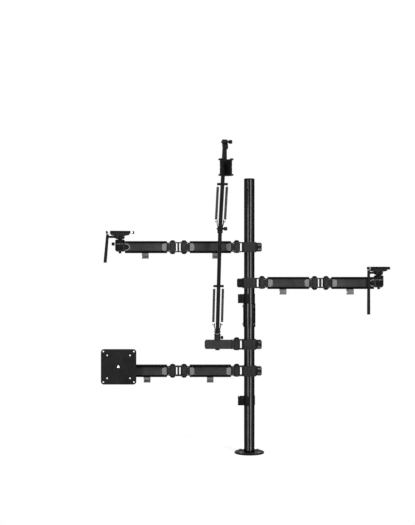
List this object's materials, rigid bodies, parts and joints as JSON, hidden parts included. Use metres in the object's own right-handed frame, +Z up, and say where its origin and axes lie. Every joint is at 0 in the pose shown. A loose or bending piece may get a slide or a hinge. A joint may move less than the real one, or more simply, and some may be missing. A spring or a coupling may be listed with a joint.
{
  "type": "desk pole stand with boom arms",
  "caption": "Desk-mounted pole with clamp collars that carry folding arms: two tilting platforms, a screen plate and a sprung microphone boom.",
  "frame": {"origin": "centre of the base flange's underside, on the desk", "axes": "+Z up along the pole, +X to the right seen from the front, +Y away from the viewer"},
  "size_m": [0.9606, 0.3267, 1.0159],
  "materials": {
    "pole": "glossy black paint",
    "powder_coat": "fine-textured black powder coat",
    "steel_paint": "fine-textured black powder coat",
    "plastic": "satin black moulding",
    "grey_plastic": "matt grey moulding",
    "springs": "blackened spring steel",
    "rubber": "matt black rubber"
  },
  "bodies": {
    "stand": {"desk_flange": "steel_paint", "lower_pole": "pole", "upper_pole": "pole", "pole_coupler": "steel_paint", "pole_cap": "plastic", "upper_pole_clip": "plastic", "lower_pole_clip": "plastic"},
    "ring_collar": {"ring_collar_rear": "powder_coat", "ring_collar_front": "powder_coat", "ring_pivot_bolt": "plastic"},
    "ring_inner": {"ring_inner_link": "powder_coat", "ring_inner_clip": "grey_plastic"},
    "ring_elbow": {"ring_elbow": "powder_coat"},
    "ring_outer": {"ring_outer_link": "powder_coat", "ring_outer_clip": "grey_plastic"},
    "ring_pan": {"ring_pan_base": "plastic"},
    "ring_tilt": {"ring_platform": "powder_coat"},
    "ring_lever": {"ring_handle": "rubber"},
    "ring_pan_knob": {"ring_pan_knob": "plastic"},
    "camera_collar": {"camera_collar_rear": "powder_coat", "camera_collar_front": "powder_coat", "camera_pivot_bolt": "plastic"},
    "camera_inner": {"camera_inner_link": "powder_coat", "camera_inner_clip": "grey_plastic"},
    "camera_elbow": {"camera_elbow": "powder_coat"},
    "camera_outer": {"camera_outer_link": "powder_coat", "camera_outer_clip": "grey_plastic"},
    "camera_pan": {"camera_pan_base": "plastic"},
    "camera_tilt": {"camera_platform": "powder_coat"},
    "camera_lever": {"camera_handle": "rubber"},
    "camera_pan_knob": {"camera_pan_knob": "plastic"},
    "screen_collar": {"screen_collar_rear": "powder_coat", "screen_collar_front": "powder_coat", "screen_pivot_bolt": "plastic"},
    "screen_inner": {"screen_inner_link": "powder_coat", "screen_inner_clip": "grey_plastic"},
    "screen_elbow": {"screen_elbow": "powder_coat"},
    "screen_outer": {"screen_outer_link": "powder_coat", "screen_outer_clip": "grey_plastic"},
    "screen_swivel": {"screen_swivel_block": "plastic"},
    "screen_tilt": {"screen_tilt_bracket": "powder_coat"},
    "screen_plate": {"screen_plate": "powder_coat"},
    "screen_pan_knob": {"screen_pan_knob": "plastic"},
    "mic_collar": {"mic_collar_rear": "powder_coat", "mic_collar_front": "powder_coat", "mic_pivot_bolt": "plastic"},
    "mic_arm": {"mic_arm": "powder_coat"},
    "mic_swivel_lock": {"mic_swivel_lock": "plastic"},
    "mic_swivel": {"mic_boom_fork": "powder_coat"},
    "mic_lower": {"mic_lower_boom": "powder_coat", "mic_lower_left_spring": "springs", "mic_lower_right_spring": "springs"},
    "mic_elbow_knob": {"mic_elbow_knob": "plastic"},
    "mic_upper": {"mic_upper_boom": "powder_coat", "mic_upper_left_spring": "springs", "mic_upper_right_spring": "springs"},
    "mic_top_knob": {"mic_top_knob": "plastic"},
    "mic_clip": {"mic_clip": "rubber"}
  },
  "joints": [
    {"name": "ring_height", "type": "slide", "parent": "stand", "child": "ring_collar", "axis": [0, 0, 1], "range_m": [-0.03, 0.18]},
    {"name": "ring_shoulder", "type": "hinge", "parent": "ring_collar", "child": "ring_inner", "pos_m": [-0.042, 0, 0.684], "axis": [0, 0, 1], "range_deg": [-90, 20]},
    {"name": "ring_elbow_in", "type": "hinge", "parent": "ring_inner", "child": "ring_elbow", "pos_m": [-0.217, 0, 0.684], "axis": [0, 0, -1], "range_deg": [-90, 90]},
    {"name": "ring_elbow_out", "type": "hinge", "parent": "ring_elbow", "child": "ring_outer", "pos_m": [-0.255, 0, 0.684], "axis": [0, 0, 1], "range_deg": [-90, 90]},
    {"name": "ring_pan", "type": "hinge", "parent": "ring_outer", "child": "ring_pan", "pos_m": [-0.43, 0, 0.684], "axis": [0, 0, 1], "range_deg": [-110, 110]},
    {"name": "ring_tilt", "type": "hinge", "parent": "ring_pan", "child": "ring_tilt", "pos_m": [-0.43, 0, 0.718], "axis": [0.9659, 0.2588, 0], "range_deg": [-30, 30]},
    {"name": "ring_lever", "type": "hinge", "parent": "ring_tilt", "child": "ring_lever", "pos_m": [-0.43, 0, 0.718], "axis": [0.9659, 0.2588, 0], "range_deg": [-35, 35]},
    {"name": "ring_pan_lock", "type": "hinge", "parent": "ring_outer", "child": "ring_pan_knob", "pos_m": [-0.43, 0, 0.6945], "axis": [-1, 0, 0], "range_deg": [0, 180]},
    {"name": "camera_height", "type": "slide", "parent": "stand", "child": "camera_collar", "axis": [0, 0, 1], "range_m": [-0.015, 0.05]},
    {"name": "camera_shoulder", "type": "hinge", "parent": "camera_collar", "child": "camera_inner", "pos_m": [0.042, 0, 0.565], "axis": [0, 0, 1], "range_deg": [-90, 90]},
    {"name": "camera_elbow_in", "type": "hinge", "parent": "camera_inner", "child": "camera_elbow", "pos_m": [0.217, 0, 0.565], "axis": [0, 0, -1], "range_deg": [-90, 90]},
    {"name": "camera_elbow_out", "type": "hinge", "parent": "camera_elbow", "child": "camera_outer", "pos_m": [0.255, 0, 0.565], "axis": [0, 0, 1], "range_deg": [-90, 90]},
    {"name": "camera_pan", "type": "hinge", "parent": "camera_outer", "child": "camera_pan", "pos_m": [0.43, 0, 0.565], "axis": [0, 0, 1], "range_deg": [0, 150]},
    {"name": "camera_tilt", "type": "hinge", "parent": "camera_pan", "child": "camera_tilt", "pos_m": [0.43, 0, 0.599], "axis": [0.8572, 0.515, 0], "range_deg": [-30, 2]},
    {"name": "camera_lever", "type": "hinge", "parent": "camera_tilt", "child": "camera_lever", "pos_m": [0.43, 0, 0.599], "axis": [0.8572, 0.515, 0], "range_deg": [-35, 2]},
    {"name": "camera_pan_lock", "type": "hinge", "parent": "camera_outer", "child": "camera_pan_knob", "pos_m": [0.43, 0, 0.5755], "axis": [0, 1, 0], "range_deg": [0, 180]},
    {"name": "screen_height", "type": "slide", "parent": "stand", "child": "screen_collar", "axis": [0, 0, 1], "range_m": [-0.05, 0.02]},
    {"name": "screen_shoulder", "type": "hinge", "parent": "screen_collar", "child": "screen_inner", "pos_m": [-0.042, 0, 0.273], "axis": [0, 0, 1], "range_deg": [-90, 90]},
    {"name": "screen_elbow_in", "type": "hinge", "parent": "screen_inner", "child": "screen_elbow", "pos_m": [-0.217, 0, 0.273], "axis": [0, 0, -1], "range_deg": [-90, 90]},
    {"name": "screen_elbow_out", "type": "hinge", "parent": "screen_elbow", "child": "screen_outer", "pos_m": [-0.255, 0, 0.273], "axis": [0, 0, 1], "range_deg": [-90, 90]},
    {"name": "screen_swivel", "type": "hinge", "parent": "screen_outer", "child": "screen_swivel", "pos_m": [-0.43, 0, 0.273], "axis": [0, 0, 1], "range_deg": [-90, 25]},
    {"name": "screen_tilt", "type": "hinge", "parent": "screen_swivel", "child": "screen_tilt", "pos_m": [-0.43, -0.036, 0.2915], "axis": [-1, 0, 0], "range_deg": [-30, 30]},
    {"name": "screen_rotate", "type": "hinge", "parent": "screen_tilt", "child": "screen_plate", "pos_m": [-0.43, -0.036, 0.2915], "axis": [0, 1, 0], "range_deg": [-90, 90]},
    {"name": "screen_pan_lock", "type": "hinge", "parent": "screen_outer", "child": "screen_pan_knob", "pos_m": [-0.43, 0, 0.277], "axis": [-1, 0, 0], "range_deg": [0, 180]},
    {"name": "mic_height", "type": "slide", "parent": "stand", "child": "mic_collar", "axis": [0, 0, 1], "range_m": [-0.03, 0.035]},
    {"name": "mic_shoulder", "type": "hinge", "parent": "mic_collar", "child": "mic_arm", "pos_m": [-0.042, 0, 0.361], "axis": [0, 0, -1], "range_deg": [-75, 8]},
    {"name": "mic_swivel", "type": "hinge", "parent": "mic_arm", "child": "mic_swivel", "pos_m": [-0.106, 0, 0.361], "axis": [0, 0, 1], "range_deg": [-60, 50]},
    {"name": "mic_swivel_lock", "type": "hinge", "parent": "mic_arm", "child": "mic_swivel_lock", "pos_m": [-0.106, 0, 0.3835], "axis": [1, 0, 0], "range_deg": [0, 180]},
    {"name": "mic_lower_tilt", "type": "hinge", "parent": "mic_swivel", "child": "mic_lower", "pos_m": [-0.106, 0, 0.403], "axis": [0.9957, 0.0924, 0], "range_deg": [-7, 60], "deforming": ["mic_lower_left_spring", "mic_lower_right_spring"]},
    {"name": "mic_elbow_tilt", "type": "hinge", "parent": "mic_lower", "child": "mic_upper", "pos_m": [-0.09818, -0.08431, 0.7426], "axis": [0.9957, 0.0924, 0], "range_deg": [-40, 80], "deforming": ["mic_upper_left_spring", "mic_upper_right_spring"]},
    {"name": "mic_elbow_lock", "type": "hinge", "parent": "mic_lower", "child": "mic_elbow_knob", "pos_m": [-0.09818, -0.08431, 0.7426], "axis": [0.9957, 0.0924, 0], "range_deg": [0, 180]},
    {"name": "mic_clip_tilt", "type": "hinge", "parent": "mic_upper", "child": "mic_clip", "pos_m": [-0.08534, -0.2227, 1.00846], "axis": [0.9957, 0.0924, 0], "range_deg": [-90, 20]},
    {"name": "mic_top_lock", "type": "hinge", "parent": "mic_upper", "child": "mic_top_knob", "pos_m": [-0.08534, -0.2227, 1.00846], "axis": [0.9957, 0.0924, 0], "range_deg": [0, 180]}
  ]
}
